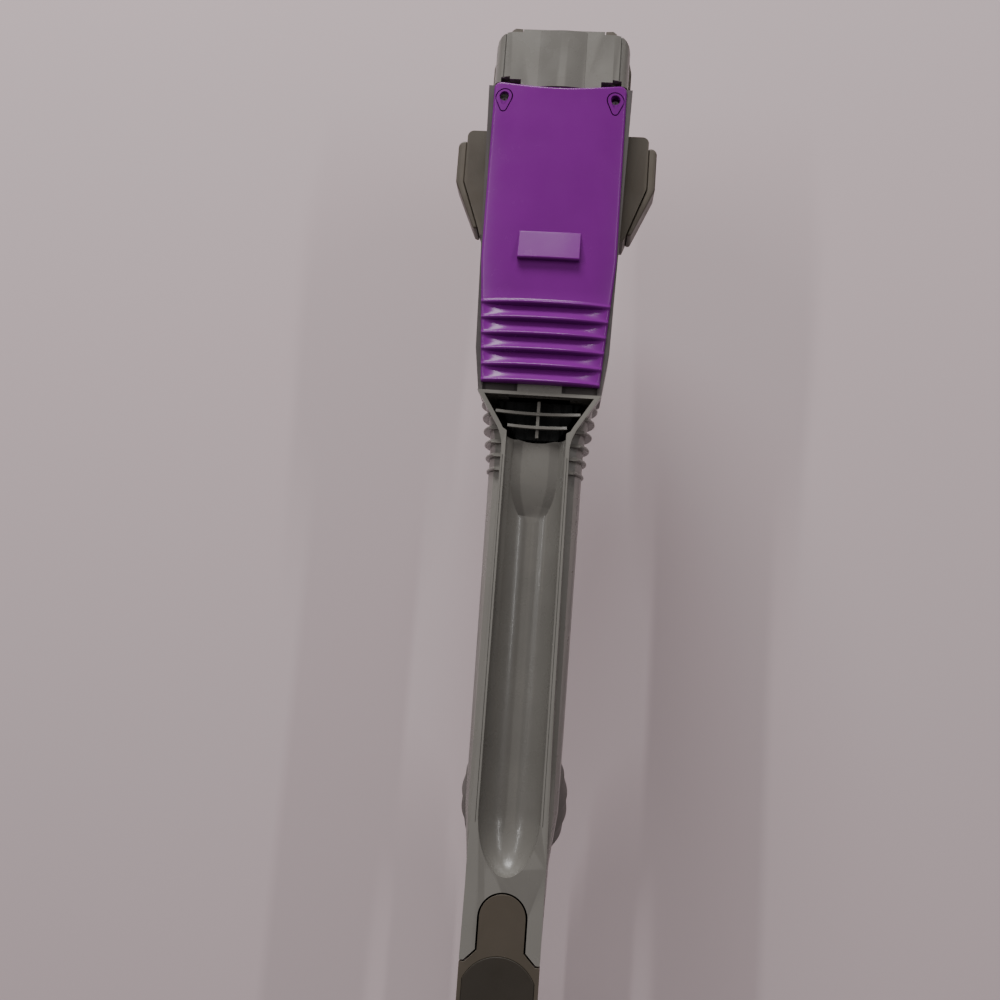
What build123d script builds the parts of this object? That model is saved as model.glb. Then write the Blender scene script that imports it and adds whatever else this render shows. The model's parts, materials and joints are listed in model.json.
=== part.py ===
from build123d import *
import os
from math import cos, pi, sin, sqrt

# Main unit of a cordless stick vacuum: nozzle socket, power body, trough shaft and loop handle.
# Millimetres. A station s is a distance below the suction mouth, so it lies at z = -s.
# The bore axis is x = 0, y = 0. The front faces -Y and the right-hand side is +X.

# ---------------------------------------------------------------- driving dimensions
WALL = 2.2                     # moulded shell thickness
FRONT = -26.0                  # y of the rails and of the flat lower face
SPLIT = -4.0                   # y where the front and rear shells of the shaft meet

MOUTH_RADIUS = 16.1            # takes a 32 mm tube
MOUTH_DEPTH = 28.0
SOCKET_HALF = 40.7             # half-width of the socket's head
SOCKET_CORNER = 8.4            # radius of the head's shoulders
SOCKET_BACK = 26.0
BAND_HALF = 14.0               # raised band down the middle of the head
SOCKET_END = 60.0              # lower end of the socket's skirt

CASING_FRONT = -24.0
CASING_CORNER = 22.0
CASING_WALL = 2.0
# station, half-width, back face
CASING_PROFILE = [(36.0, 43.4, 30.0), (50.0, 43.2, 30.0), (133.0, 41.1, 30.0),
                  (200.0, 39.0, 28.5), (225.0, 35.7, 26.0)]

COVER_TOP = 33.6
COVER_DIP = 5.0                # how far the cover's top edge dips in the middle
COVER_BOTTOM = 220.6
COVER_EDGE = -24.05
COVER_WALL = 2.2
# station, half-width, rise of the arch
COVER_PROFILE = [(30.0, 40.0, 5.0), (145.0, 40.0, 5.0), (222.0, 34.4, 5.0)]
COVER_SCREW = (33.5, 45.5)     # x and station of the two bosses
BOSS_SEAT = -19.3              # y where the cover's bosses rest on the casing's
BAND_RECESS = -21.8            # y of the casing's face under the cover's lower edge
LEDGE_HALF = 18.3
LEDGE_TOP = 128.0
LEDGE_BOTTOM = 146.6
RIB_COUNT = 6
RIB_FIRST = 172.4
RIB_PITCH = 9.4
RIB_PROUD = 1.0
LIP_HEIGHT = 1.2
LOUVER_FLOOR = 1.4             # rise of the recess under each ridge

PIVOT = (38.6, 50.0)           # x and station of the latch pivot
PIVOT_RADIUS = 1.6
RUNNING_GAP = 0.05             # radial clearance of every pivot and bearing
ARM_INNER = 36.6
ARM_OUTER = 40.6               # inside the casing
ARM_BULGE = 42.4               # above the casing
ARM_HALF_DEPTH = 9.0
EAR_TOP = 59.0
EAR_BOTTOM = 126.0
EAR_HALF_DEPTH = 11.0

FLAP_PIVOT = (18.5, 63.0)      # y and station
CHAMBER_TOP = 64.0
CHAMBER_BOTTOM = 142.0
CHAMBER_HALF = 33.5
CHAMBER_BACK = 24.0
DOOR_HALF = 25.0
DOOR_TOP = 66.0
DOOR_BOTTOM = 140.0
DOOR_PIVOT = (27.0, 143.5)     # y and station

MOTOR_Y = 2.0
MOTOR_RADIUS = 21.0
MOTOR_TOP = 163.0
MOTOR_BOTTOM = 205.0
SHAFT_RADIUS = 2.5

NECK_TOP = 225.4
TAB_HALF = 12.9
TAB_TOP = 220.6
NECK_END = 259.0
NECK_BEND = 15.0
NECK_SLOPE = 0.63
RAIL_HALF = 19.6
TROUGH_RADIUS = 17.2
TROUGH_TOP = 251.7
TROUGH_STRAIGHT_END = 462.0
TROUGH_BOTTOM = 496.0
# depth and station along the raised floor at the trough's upper end
RAISED_FLOOR = [(-15.2, 240.0), (-15.4, 270.0), (-14.9, 279.0), (-13.0, 288.0), (-10.8, 295.0),
                (-7.6, 303.0)]
FIN_COUNT = 6
FIN_FIRST = 230.4
FIN_PITCH = 8.0
FIN_THICKNESS = 2.0
FIN_FRONT = -21.0
FIN_FIRST_HALF = 34.6
FIN_LAST_HALF = 28.8
SHAFT_END = 541.0
GROOVE_X = 18.3                # fine groove along the rails
RAIL_DEPTH = -18.5             # y where the rails' outer faces meet the round of the tube
SECTION_STEPS = 3
NECK_STEPS = 16
# station, front half-width, half-width at the split, depth behind the split
SHAFT_PROFILE = [(262.0, 19.6, 27.6, 27.4), (400.0, 20.4, 26.8, 27.4), (462.0, 21.2, 26.4, 27.0),
                 (490.0, 21.9, 23.0, 18.0), (541.0, 21.9, 21.6, 10.0)]

TONGUE_CENTRE = 517.5
TONGUE_RADIUS = 13.2           # to the middle of the seam
SEAM = 1.0
TONGUE_SHOULDER = 534.4
TONGUE_FLARE = 6.2
LIMB_BOTTOM = 655.0
LIMB_HALF = 21.9
PAD_TOP = 537.0
PAD_HALF = 19.6
PAD_ARCH_RADIUS = 21.5
PAD_BOTTOM = 640.0

GRIP_RADIUS = 16.5
GRIP_WALL = 2.4
GRIP_ROOT = (10.0, 440.0)      # y and station where the rear limb's axis leaves the shaft
GRIP_SHOULDER = (66.0, 512.0)
GRIP_HEEL = (66.0, 622.0)
GRIP_TOE = (-4.0, 622.0)
BOOT_CENTRE = 26.0             # along the limb's axis from its root
BOOT_RADIUS = 31.0
BOOT_HALF_LENGTH = 50.0
BOOT_START = -18.0             # along the limb's axis
BOOT_END = 60.0
BOOT_RINGS = 6
BOOT_LIP = 0.5

TRIGGER_PIVOT = (56.0, 538.0)  # y and station
CELL_RADIUS = 9.2
CELL_LENGTH = 65.0
CELL_X = 9.6
CELL_Y = 6.4
CELL_FIRST = 258.0
CELL_GAP = 1.5


# ---------------------------------------------------------------- helpers
def block(x0, x1, y0, y1, s0, s1):
    """Box between two x, two y and two stations."""
    return Pos((x0 + x1) / 2, (y0 + y1) / 2, -(s0 + s1) / 2) * Box(x1 - x0, y1 - y0, s1 - s0)


def post(x, y, s0, s1, radius):
    """Upright cylinder between two stations."""
    return Pos(x, y, -(s0 + s1) / 2) * Cylinder(radius, s1 - s0)


def rod_y(x, s, y0, y1, radius):
    """Cylinder along Y."""
    return Pos(x, (y0 + y1) / 2, -s) * Rot(90, 0, 0) * Cylinder(radius, y1 - y0)


def rod_x(y, s, x0, x1, radius):
    """Cylinder along X."""
    return Pos((x0 + x1) / 2, y, -s) * Rot(0, 90, 0) * Cylinder(radius, x1 - x0)


def upright(outline, y_front, y_back):
    """Extrude an outline drawn in x and z through a depth."""
    return extrude(Plane.XZ.offset(-y_back) * outline, y_back - y_front)


def front_polygon(points):
    """Face in x and z from points given as x and station."""
    return make_face(Polyline(*[(x, -s) for x, s in points], close=True))


def side_polygon(points, x0, x1):
    """Solid between two x whose side view is given as y and station."""
    face = make_face(Polyline(*[(y, -s) for y, s in points], close=True))
    return extrude(Plane.YZ.offset(x0) * face, x1 - x0)


def both_sides(shape):
    """A shape and its mirror image across x = 0."""
    return shape + mirror(shape, about=Plane.YZ)


def save(shape, node):
    """Write one node."""
    shape = Part() + shape
    export_step(shape, "parts/" + node + ".step")


# ---------------------------------------------------------------- nozzle socket and flap
def head_outline():
    """Front view of the socket's head: round shoulders with notches for the two hooks."""
    corner = (SOCKET_HALF - SOCKET_CORNER, -1.9)
    low = -COVER_TOP + 0.5
    bend = SOCKET_CORNER * (1 - sqrt(0.5))
    edges = []
    for side in (1, -1):
        edges += Polyline((0, 0), (side * 24.6, 0), (side * 24.6, corner[1]),
                          (side * corner[0], corner[1])).edges()
        edges.append(ThreePointArc((side * corner[0], corner[1]),
                                   (side * (SOCKET_HALF - bend), corner[1] - bend),
                                   (side * SOCKET_HALF, corner[1] - SOCKET_CORNER)))
        edges.append(Line((side * SOCKET_HALF, corner[1] - SOCKET_CORNER), (side * SOCKET_HALF, low)))
    edges.append(ThreePointArc((SOCKET_HALF, low), (0, low - COVER_DIP), (-SOCKET_HALF, low)))
    return make_face(edges)


def head_plan():
    """Top view of the socket's head, with a step and a groove beside each shoulder."""
    right = [(30.5, FRONT), (34.6, FRONT + 0.8), (34.6, FRONT + 1.8), (35.3, FRONT + 1.8),
             (35.3, FRONT + 1.1), (37.6, FRONT + 2.2), (39.6, FRONT + 4.2), (SOCKET_HALF, FRONT + 7.4),
             (SOCKET_HALF, SOCKET_BACK - 6), (SOCKET_HALF - 6, SOCKET_BACK)]
    left = [(-x, y) for x, y in reversed(right)]
    return make_face(Polyline(*right, *left, close=True))


def nozzle_socket():
    """Socket that a wand or tool slides into, with a skirt inside the casing."""
    head = upright(head_outline(), FRONT, SOCKET_BACK)
    head &= extrude(Plane.XY.offset(-45) * head_plan(), 50)
    band = make_face([ThreePointArc((-BAND_HALF, FRONT - 0.3), (0, FRONT - 2.0), (BAND_HALF, FRONT - 0.3)),
                      Polyline((BAND_HALF, FRONT - 0.3), (BAND_HALF, -20), (-BAND_HALF, -20),
                               (-BAND_HALF, FRONT - 0.3)).edges()])
    band = extrude(Plane.XY.offset(-37.2) * band, 36.2)
    skirt = block(-29.8, 29.8, -19, SOCKET_BACK + 1.5, 33, SOCKET_END)
    skirt = fillet(skirt.edges().filter_by(Axis.Z), 6)
    body = head + band + skirt
    body -= post(0, 0, -1, SOCKET_END + 1, MOUTH_RADIUS)
    body -= post(0, 0, MOUTH_DEPTH, MOUTH_DEPTH + 4, MOUTH_RADIUS + 2.4)
    relief = block(18.8, 27.4, -14, SOCKET_BACK - 3, 8, SOCKET_END + 1)
    depth = ARM_HALF_DEPTH + 0.8
    slot = upright(front_polygon([(26.0, -3), (50, -3), (50, 45), (ARM_INNER - 1.6, 45),
                                  (ARM_INNER - 1.6, 12.6), (29.4, 4.2), (26.0, 2.0)]), -depth, depth)
    body -= both_sides(relief + slot)
    for x0, x1, s0 in ((24.2, 31.0, 32.6), (31.0, 36.4, 30.9)):
        body -= both_sides(block(x0, x1, -40, -20, s0, 45))
    cheek = block(-30, 30, 15.4, 21.6, SOCKET_END - 1.6, SOCKET_END + 1)
    return body - cheek


def socket_seal():
    """Rubber ring in the groove of the bore."""
    groove = post(0, 0, MOUTH_DEPTH + 0.2, MOUTH_DEPTH + 3.8, MOUTH_RADIUS + 2.35)
    return groove - post(0, 0, MOUTH_DEPTH, MOUTH_DEPTH + 4, MOUTH_RADIUS - 0.3)


def inlet_flap():
    """Disc that closes the duct when the suction stops."""
    y, s = FLAP_PIVOT
    disc = post(0, 0, SOCKET_END + 0.4, SOCKET_END + 2.0, MOUTH_RADIUS - 0.4)
    arm = block(-5, 5, 10, y, SOCKET_END + 0.4, SOCKET_END + 2.0)
    barrel = rod_x(y, s, -8, 8, 2.2)
    return disc + arm + barrel - rod_x(y, s, -9, 9, 1.0 + RUNNING_GAP)


def flap_pin():
    """Pin that the flap swings on."""
    y, s = FLAP_PIVOT
    return rod_x(y, s, -15, 15, 1.0)


# ---------------------------------------------------------------- power body shells
def casing_section(station, half_width, back, inset=0.0, front=CASING_FRONT):
    """Casing outline at one station: flat front and a back with round corners."""
    depth = back - inset - front
    outline = Pos(0, front + depth / 2) * Rectangle(2 * (half_width - inset), depth)
    outline = fillet(outline.vertices().group_by(Axis.Y)[-1], CASING_CORNER - inset)
    return Plane.XY.offset(-station) * outline


def cover_half_width(station):
    """Half-width of the front cover, straight and then tapering."""
    top, middle, bottom = COVER_PROFILE
    if station < middle[0]:
        return middle[1]
    share = (station - middle[0]) / (bottom[0] - middle[0])
    return middle[1] + share * (bottom[1] - middle[1])


def cover_section(station, half_width, rise, back=COVER_EDGE):
    """Cover outline at one station: an arch over short straight sides."""
    edge = COVER_EDGE
    lines = [ThreePointArc((-half_width, edge), (0, edge - rise), (half_width, edge))]
    if back > edge:
        sides = Polyline((half_width, edge), (half_width, back), (-half_width, back),
                         (-half_width, edge))
        lines += list(sides.edges())
    else:
        lines.append(Line((half_width, edge), (-half_width, edge)))
    return Plane.XY.offset(-station) * make_face(lines)


def casing_half():
    """Right-hand half of the power body's back and sides, with its ear window and half a door window."""
    outer = loft([casing_section(*row) for row in CASING_PROFILE], ruled=True)
    rows = [(CASING_PROFILE[0][0] - 1,) + CASING_PROFILE[0][1:]] + CASING_PROFILE[1:-1]
    rows.append((220.5, 36.6, 26.4))
    inner = loft([casing_section(*row, inset=CASING_WALL, front=CASING_FRONT + 2.4)
                  for row in rows], ruled=True)
    window = loft([Plane.XY.offset(-s) * (Pos(0, CASING_FRONT) * Rectangle(2 * half - 7, 12))
                   for s, half in ((35, 40), (145, 40), (217, 34.6))], ruled=True)
    casing = outer - inner - window
    casing -= block(-33.4, 33.4, -30, BAND_RECESS, COVER_BOTTOM - 0.2, 230)
    casing += block(-34, 34, BAND_RECESS, BAND_RECESS + 2, 217, 223)
    casing -= block(-60, 60, -EAR_HALF_DEPTH - 1.2, EAR_HALF_DEPTH + 1.2, EAR_TOP - 2.5, EAR_BOTTOM + 3.5)
    door_y = 20
    casing -= block(-DOOR_HALF - 0.4, DOOR_HALF + 0.4, door_y, 40, DOOR_TOP - 0.4, DOOR_BOTTOM + 7.4)
    casing -= block(-20, 20, -18, 14, 218, 230)
    x, s = PIVOT
    lug = block(35.6, 42.4, 9.6, 13.4, 45.6, 54.4)
    lugs = lug + mirror(lug, about=Plane.XZ)
    bx, bs = COVER_SCREW
    casing -= rod_y(bx, bs, -30, BOSS_SEAT, 5.1)
    boss = rod_y(bx, bs, BOSS_SEAT, BOSS_SEAT + 6.5, 3.4)
    shelf = block(29.5, 43.0, BOSS_SEAT, BOSS_SEAT + 2.4, 38, 54)
    y, pin = DOOR_PIVOT
    casing += lugs + boss + shelf + block(19, 28, y - 2, y + 2.2, pin - 1.9, pin + 2.6)
    casing -= rod_x(y, pin, 0, 22, 1.2)
    casing -= rod_y(x, s, -20, 20, PIVOT_RADIUS)
    casing -= rod_y(bx, bs, -30, BOSS_SEAT + 5.5, 1.6)
    return casing & block(0, 80, -60, 60, 20, 240)


def finger_ledge():
    """Raised ramp on the cover, highest at its lower edge and crowned across."""
    def section(station, peak):
        side = peak + 0.9
        arc = ThreePointArc((-LEDGE_HALF, side), (0, peak), (LEDGE_HALF, side))
        back = Polyline((LEDGE_HALF, side), (LEDGE_HALF, -27), (-LEDGE_HALF, -27), (-LEDGE_HALF, side))
        return Plane.XY.offset(-station) * make_face([arc] + list(back.edges()))
    return loft([section(LEDGE_TOP, -28.9), section(LEDGE_BOTTOM, -34.6),
                 section(LEDGE_BOTTOM + 2.2, -33.2)], ruled=True)


def louver(start, start_rise, ridge):
    """Strip that rises from one arch to a ridge, with a rounded lip under the ridge."""
    rise = COVER_PROFILE[0][2] + RIB_PROUD
    first = cover_section(start, cover_half_width(start), start_rise)
    crest = cover_section(ridge, cover_half_width(ridge), rise)
    lip = cover_section(ridge + LIP_HEIGHT, cover_half_width(ridge), rise - 0.6)
    return loft([first, crest], ruled=True) + loft([crest, lip], ruled=True)


def front_cover():
    """Glossy arched cover with a finger ledge, two screw bosses and a stack of louvers."""
    cover = loft([cover_section(*row) for row in COVER_PROFILE], ruled=True)
    cover -= block(-60, 60, -60, 0, RIB_FIRST, 260)
    inner = loft([cover_section(s, half - COVER_WALL, rise - COVER_WALL + 0.4, COVER_EDGE + 3)
                  for s, half, rise in COVER_PROFILE], ruled=True)
    inner -= block(-60, 60, -60, 0, RIB_FIRST - 2, 260)
    cover += finger_ledge()
    bx, bs = COVER_SCREW
    bosses = both_sides(rod_y(bx, bs, -26.8, BOSS_SEAT - 0.05, 4.8))
    cover = cover - inner + bosses
    cover += louver(RIB_FIRST - 3, COVER_PROFILE[0][2], RIB_FIRST)
    for index in range(1, RIB_COUNT):
        ridge = RIB_FIRST + index * RIB_PITCH
        cover += louver(ridge - RIB_PITCH + LIP_HEIGHT, LOUVER_FLOOR, ridge)
    cover -= upright(make_face([
        Polyline((45, -COVER_TOP), (45, 0), (-45, 0), (-45, -COVER_TOP)).edges(),
        ThreePointArc((-45, -COVER_TOP), (0, -COVER_TOP - COVER_DIP), (45, -COVER_TOP))]), -60, 0)
    cover -= block(-60, 60, -60, 0, COVER_BOTTOM, 240)
    cover -= both_sides(rod_y(bx, bs, -30, BOSS_SEAT - 1.6, 2.9))
    cover -= both_sides(rod_y(bx, bs, -30, 0, 1.75))
    return cover


def screw(x, s, head_front, tip, head_radius, shank_radius):
    """Cross-head screw along Y, with its head to the front."""
    back = head_front + 1.75
    body = rod_y(x, s, head_front, back, head_radius) + rod_y(x, s, back, tip, shank_radius)
    for half_x, half_s in ((head_radius * 0.62, 0.4), (0.4, head_radius * 0.62)):
        body -= block(x - half_x, x + half_x, head_front - 1, head_front + 0.9, s - half_s, s + half_s)
    return body


def cover_screws():
    """Two screws that hold the front cover."""
    x, s = COVER_SCREW
    return both_sides(screw(x, s, BOSS_SEAT - 3.4, BOSS_SEAT + 5.4, 2.75, 1.55))


# ---------------------------------------------------------------- latch levers
def ear_outline(points, radius):
    """Front view of an ear with its two outer corners rounded."""
    outline = front_polygon(points)
    outer = outline.vertices().sort_by(Axis.X)[-2:]
    return fillet(outer, radius)


def latch_lever():
    """Right-hand pinch lever: a hook over the socket's top edge, an arm and a side ear."""
    x, s = PIVOT
    hook = upright(front_polygon([(25.2, -1.2), (29.6, -1.5), (31.8, 0.2), (31.8, 1.5), (25.2, 1.5)]),
                   FRONT + 2.0, 22)
    arm = upright(front_polygon([
        (27.0, -1.2), (29.6, -1.5), (38.6, 6.4), (41.0, 10.4), (ARM_BULGE, 17.0), (ARM_BULGE, 33.0),
        (ARM_OUTER, 35.0), (ARM_OUTER, EAR_TOP + 6),
        (ARM_INNER, EAR_TOP + 6), (ARM_INNER, 12.0), (30.4, 3.4), (27.0, 1.5)]),
        -ARM_HALF_DEPTH, ARM_HALF_DEPTH)
    ear = upright(ear_outline([
        (40.0, EAR_TOP), (55.5, EAR_TOP), (55.5, 92.0), (43.3, EAR_BOTTOM), (40.0, EAR_BOTTOM)], 4.0),
        -EAR_HALF_DEPTH, EAR_HALF_DEPTH)
    lever = hook + arm + ear
    lever -= rod_y(x, s, -20, 20, PIVOT_RADIUS + RUNNING_GAP)
    lever -= block(ARM_INNER - 1, ARM_OUTER + 1, -3.2, 3.2, s - 3.4, s + 3.4)
    return lever


def latch_cap():
    """Outer press pad of the right-hand lever."""
    outline = ear_outline([(55.52, 65.5), (60.8, 65.5), (60.8, 92.0), (47.9, 121.5), (45.02, 121.5),
                           (55.52, 92.0)], 4.0)
    pad = upright(outline, -EAR_HALF_DEPTH + 1, EAR_HALF_DEPTH - 1)
    return pad


def latch_spring():
    """Torsion spring coiled on the right-hand pivot pin."""
    x, s = PIVOT
    spring = None
    for index in range(5):
        coil = Pos(x, -2.2 + index * 1.1, -s) * Rot(90, 0, 0) * Torus(2.05, 0.4)
        spring = coil if spring is None else spring + coil
    tie = rod_y(x + 2.05, s, -2.4, 2.4, 0.35)
    return spring + tie


def latch_pins():
    """Pins of the two latch levers."""
    x, s = PIVOT
    return both_sides(rod_y(x, s, -13.4, 13.4, PIVOT_RADIUS))


# ---------------------------------------------------------------- dust chamber, door and filters
def dust_chamber():
    """Box that collects the dust, open at the top for the duct and at the back for the door."""
    box = block(-CHAMBER_HALF, CHAMBER_HALF, -19, CHAMBER_BACK, CHAMBER_TOP, CHAMBER_BOTTOM)
    box = fillet(box.edges().filter_by(Axis.Z).sort_by(Axis.Y)[-2:], 7)
    inner = block(-CHAMBER_HALF + 2, CHAMBER_HALF - 2, -17, CHAMBER_BACK - 2, CHAMBER_TOP + 2,
                  CHAMBER_BOTTOM - 2)
    box -= fillet(inner.edges().filter_by(Axis.Z).sort_by(Axis.Y)[-2:], 5)
    box -= block(-18, 18, -17, 21, 60, 68)
    box -= block(-22, 22, 15, 30, DOOR_TOP + 14, 136)
    box -= post(0, MOTOR_Y, 130, 150, 13)
    y, s = FLAP_PIVOT
    cheeks = both_sides(block(11, 15, y - 2.6, y + 3.4, s - 2.2, CHAMBER_TOP + 3))
    cheeks += both_sides(block(11, 22, y + 1.2, y + 3.4, CHAMBER_TOP, CHAMBER_TOP + 3))
    return box + cheeks - rod_x(y, s, -15, 15, 1.0)


def mesh_shroud():
    """Perforated cup that keeps coarse dust off the filter."""
    tube = post(0, MOTOR_Y, 116, 140, 12.6) - post(0, MOTOR_Y, 117.5, 141, 11.4)
    for turn in range(12):
        hole = Pos(0, MOTOR_Y, -128) * Rot(0, 0, turn * 30) * Pos(12, 0, 0) * Box(4, 2.6, 15)
        tube -= hole
    return tube


def bin_door():
    """Rear door for emptying the dust chamber."""
    plate = block(-DOOR_HALF, DOOR_HALF, 27.8, 30.2, DOOR_TOP, DOOR_BOTTOM)
    plate = fillet(plate.edges().filter_by(Axis.Y), 3)
    y, s = DOOR_PIVOT
    arms = both_sides(block(12, 18, y - 0.4, 30.2, DOOR_BOTTOM - 2, s + 1.0))
    barrel = both_sides(rod_x(y, s, 12, 18, 2.4))
    plug = block(-21.4, 21.4, 24.4, 27.8, DOOR_TOP + 15, 135)
    plug -= block(-19, 19, 23, 27.8, DOOR_TOP + 17.4, 132.6)
    door = plate + arms + barrel + plug
    door -= block(-6.8, 6.8, 26, 32, DOOR_TOP + 2.6, DOOR_TOP + 9.8)
    return door - both_sides(rod_x(y, s, 11, 19, 1.2 + RUNNING_GAP))


def door_seal():
    """Rubber frame between the door and the chamber."""
    frame = block(-24.4, 24.4, CHAMBER_BACK + 0.3, 27.8, DOOR_TOP + 12.4, 137.6)
    return frame - block(-21.6, 21.6, 20, 30, DOOR_TOP + 14.8, 135.2)


def door_pin():
    """Pin of the bin door."""
    y, s = DOOR_PIVOT
    return rod_x(y, s, -22, 22, 1.2)


def door_catch():
    """Sliding catch at the top of the bin door; its tongue hooks behind the casing wall."""
    tongue = block(-6.6, 6.6, 25.9, 27.6, DOOR_TOP + 0.4, DOOR_TOP + 10.0)
    ridge = block(-6.4, 6.4, 27.6, 31.6, DOOR_TOP + 7.0, DOOR_TOP + 9.4)
    return tongue + ridge


def pre_motor_filter():
    """Foam disc in front of the impeller."""
    return post(0, MOTOR_Y, 146, 151, 23.5)


def exhaust_filter():
    """Pleated filter across the neck, behind the exhaust grille."""
    pad = upright(front_polygon([(-25, 228.4), (25, 228.4), (12.0, 251.2), (-12.0, 251.2)]), -12.5, -9.0)
    for index in range(7):
        pad -= Pos(-21 + index * 7, -12.9, -238) * Rot(0, 0, 45) * Box(2.4, 2.4, 40)
    return pad


# ---------------------------------------------------------------- motor
def motor_mount_ring():
    """Rubber ring that carries the motor in the casing."""
    ring = post(0, MOTOR_Y, 153, 161, 25.0) - post(0, MOTOR_Y, 152, 162, MOTOR_RADIUS + 0.4)
    return ring


def motor_housing():
    """Can with a vented bottom and a bearing seat at each end."""
    can = post(0, MOTOR_Y, MOTOR_TOP - 9, MOTOR_BOTTOM, MOTOR_RADIUS)
    can -= post(0, MOTOR_Y, MOTOR_TOP - 10, MOTOR_TOP + 1, MOTOR_RADIUS - 1.6)
    can -= post(0, MOTOR_Y, MOTOR_TOP + 3, MOTOR_BOTTOM - 2, MOTOR_RADIUS - 1.6)
    can -= post(0, MOTOR_Y, MOTOR_TOP - 1, MOTOR_BOTTOM + 1, 5.5)
    for turn in range(6):
        can -= Pos(0, MOTOR_Y, -(MOTOR_TOP + 2)) * Rot(0, 0, 60 * turn) * Pos(13, 0, 0) * Box(8, 7, 6)
        can -= Pos(0, MOTOR_Y, -MOTOR_BOTTOM) * Rot(0, 0, 60 * turn) * Pos(13, 0, 0) * Box(8, 7, 6)
    return can


def bearing(top):
    """Ball bearing drawn as one ring."""
    return post(0, MOTOR_Y, top, top + 4, 5.5) - post(0, MOTOR_Y, top - 1, top + 5,
                                                      SHAFT_RADIUS + RUNNING_GAP)


def motor_stator():
    """Laminated stack with six wound poles."""
    stack = post(0, MOTOR_Y, 172, 192, MOTOR_RADIUS - 1.8) - post(0, MOTOR_Y, 171, 193, 15.5)
    for turn in range(6):
        pole = Pos(0, MOTOR_Y, -182) * Rot(0, 0, 60 * turn) * Pos(13.2, 0, 0) * Box(6.4, 6, 20)
        coil = Pos(0, MOTOR_Y, -182) * Rot(0, 0, 60 * turn) * Pos(13.4, 0, 0) * Box(3.4, 9.4, 24)
        stack += pole + coil
    return stack - post(0, MOTOR_Y, 165, 199, 10.2)


def rotor():
    """Shaft with its magnet."""
    shaft = post(0, MOTOR_Y, 153.5, MOTOR_BOTTOM - 1, SHAFT_RADIUS)
    return shaft + post(0, MOTOR_Y, 172, 192, 9.4)


def impeller():
    """Centrifugal wheel with curved blades on a backplate."""
    wheel = post(0, MOTOR_Y, 161.0, 162.2, 18.2) + post(0, MOTOR_Y, 154.6, 161.2, 5.0)
    for turn in range(9):
        blade = Pos(0, MOTOR_Y, -158.4) * Rot(0, 0, 40 * turn) * Pos(11, 2, 0) * Rot(0, 0, 24)
        wheel += blade * Box(13.5, 1.0, 5.4)
    return wheel - post(0, MOTOR_Y, 150, 165, SHAFT_RADIUS)


# ---------------------------------------------------------------- shaft shells
def rail_half_width(station):
    """Outer half-width of the rails: a slanted flare that bends into a straight run."""
    bend_start = NECK_END - NECK_BEND
    if station >= NECK_END:
        return RAIL_HALF
    if station > bend_start:
        return RAIL_HALF + NECK_SLOPE * (NECK_END - station) ** 2 / (2 * NECK_BEND)
    return RAIL_HALF + NECK_SLOPE * (NECK_BEND / 2 + bend_start - station)


def shaft_rows():
    """Sections of the shaft, from the neck's rim to the lower end."""
    rows = []
    for index in range(NECK_STEPS + 1):
        station = NECK_TOP + index * (NECK_END - NECK_TOP) / NECK_STEPS
        share = (station - NECK_TOP) / (NECK_END - NECK_TOP)
        side = 27.6 + 6.4 * (1 - share) ** 2
        rows.append((station, rail_half_width(station), side, 27.4))
    return rows + SHAFT_PROFILE


def front_section(station, front_half, side_half, inset=0.0):
    """Front shell outline at one station: straight rails, then a round out to the split."""
    back = SPLIT + (1.0 if inset else 0.0)
    right = [(front_half - inset, FRONT + inset)]
    for step in range(SECTION_STEPS + 1):
        turn = step / SECTION_STEPS * pi / 2
        x = front_half + (side_half - front_half) * sin(turn) - inset
        right.append((x, back + (RAIL_DEPTH + inset - back) * cos(turn)))
    left = [(-x, y) for x, y in reversed(right)]
    return Plane.XY.offset(-station) * make_face(Polyline(*right, *left, close=True))


def rear_section(station, side_half, depth, inset=0.0):
    """Rear shell outline at one station: half an ellipse behind the split."""
    half = side_half - inset
    arc = EllipticalCenterArc((0, SPLIT), half, depth - inset, 0, arc_size=180)
    corners = [(-half, SPLIT), (half, SPLIT)]
    if inset:
        corners[1:1] = [(-half, SPLIT - 1), (half, SPLIT - 1)]
    lines = [arc] + list(Polyline(*corners).edges())
    return Plane.XY.offset(-station) * make_face(lines)


def inset_rows(rows, top, bottom):
    """Sections moved in from both ends to leave end walls."""
    inner = [row for row in rows if top < row[0] < bottom]
    return [(top,) + inner[0][1:]] + inner[1:] + [(bottom,) + rows[-1][1:]]


def trough_form(extra=0.0):
    """Round channel with a rounded lower end, on an axis in the rails' plane."""
    radius = TROUGH_RADIUS + extra
    long_half = TROUGH_BOTTOM + extra - TROUGH_STRAIGHT_END
    top = TROUGH_TOP - (0 if extra else 4)
    profile = make_face([
        Polyline((0, -TROUGH_BOTTOM - extra), (0, -top), (radius, -top),
                 (radius, -TROUGH_STRAIGHT_END)).edges(),
        EllipticalCenterArc((0, -TROUGH_STRAIGHT_END), long_half, radius, 0, arc_size=90,
                            rotation=-90)])
    form = revolve(Plane.XZ * profile, Axis.Z)
    return Pos(0, FRONT, 0) * form


def raised_floor():
    """Solid under the flat floor that ramps down into the trough."""
    points = [(y, -s) for y, s in RAISED_FLOOR]
    low, high = points[-1], points[0]
    face = make_face([Spline(*points), Polyline(low, (8, low[1]), (8, high[1]), high).edges()])
    return extrude(Plane.YZ.offset(-20) * face, 40)


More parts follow.
